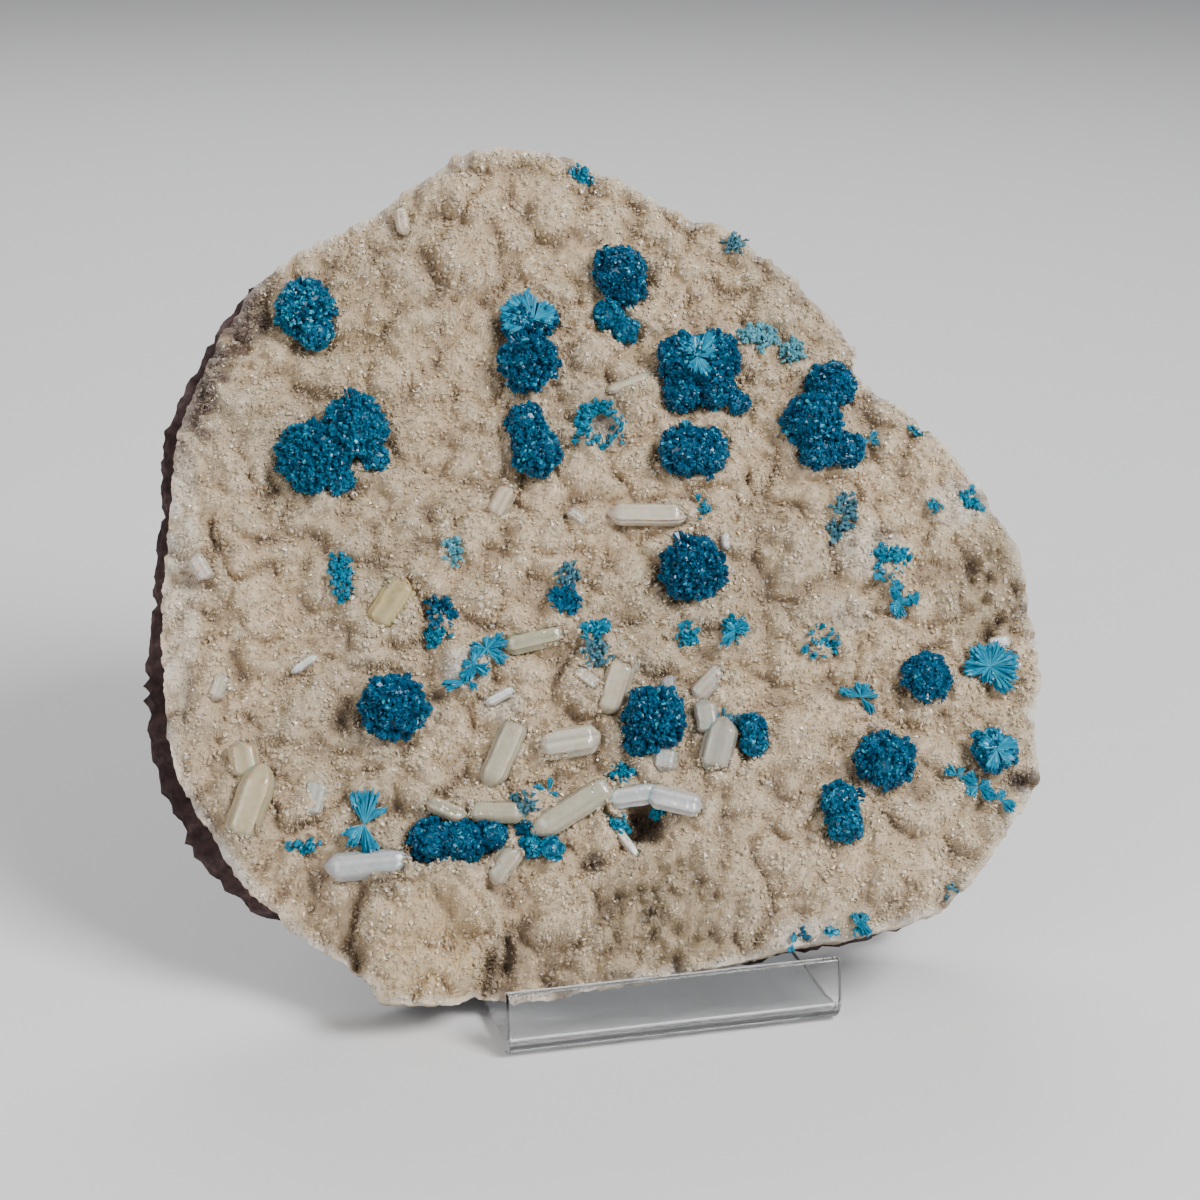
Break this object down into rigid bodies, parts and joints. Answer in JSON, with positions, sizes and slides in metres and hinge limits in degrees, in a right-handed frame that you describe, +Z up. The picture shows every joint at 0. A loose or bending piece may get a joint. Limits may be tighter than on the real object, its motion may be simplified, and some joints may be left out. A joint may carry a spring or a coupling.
{
  "type": "cavansite mineral specimen on a display easel",
  "caption": "Leaning slab of pale zeolite crust on dark basalt, studded with deep blue cavansite rosettes and ivory blades, on a clear bent-sheet easel.",
  "frame": {"origin": "on the table, at the middle of the easel's width and 20 mm behind its lip's front", "axes": "+Z up, +X along the easel's lip to the viewer's right, -Y towards the viewer"},
  "size_m": [0.1354, 0.0918, 0.1192],
  "materials": {
    "cavansite": "satin crystal needles",
    "stilbite": "pearly",
    "zeolite": "sparkling druse",
    "basalt": "rough broken",
    "clear_acrylic": "polished clear sheet"
  },
  "bodies": {
    "root": {"basalt_matrix": "basalt", "cavansite_behind_blades": "cavansite", "cavansite_below_square": "cavansite", "cavansite_big_left": "cavansite", "cavansite_bottom_dark": "cavansite", "cavansite_bowtie": "cavansite", "cavansite_bright": "cavansite", "cavansite_centre": "cavansite", "cavansite_double": "cavansite", "cavansite_fan_and_ball": "cavansite", "cavansite_fan_cluster": "cavansite", "cavansite_far_right": "cavansite", "cavansite_left_ball": "cavansite", "cavansite_lower_centre": "cavansite", "cavansite_lower_right": "cavansite", "cavansite_right_ball": "cavansite", "cavansite_right_trio": "cavansite", "cavansite_square": "cavansite", "cavansite_top_left": "cavansite", "cavansite_two_balls": "cavansite", "cavansite_upper_centre": "cavansite", "cavansite_upper_small": "cavansite", "display_stand": "clear_acrylic", "stilbite_arch": "stilbite", "stilbite_centre_bar": "stilbite", "stilbite_corner_blade": "stilbite", "stilbite_green_bar": "stilbite", "stilbite_grey_pair": "stilbite", "stilbite_leaning_tooth": "stilbite", "stilbite_ledge": "stilbite", "stilbite_ledge_left": "stilbite", "stilbite_left_plate": "stilbite", "stilbite_long_blade": "stilbite", "stilbite_needle": "stilbite", "stilbite_nub": "stilbite", "stilbite_pointed": "stilbite", "stilbite_satin_bar": "stilbite", "stilbite_sliver": "stilbite", "stilbite_small_tooth": "stilbite", "stilbite_streaked": "stilbite", "stilbite_tooth": "stilbite", "stilbite_wedge": "stilbite", "zeolite_crust": "zeolite"}
  },
  "joints": []
}
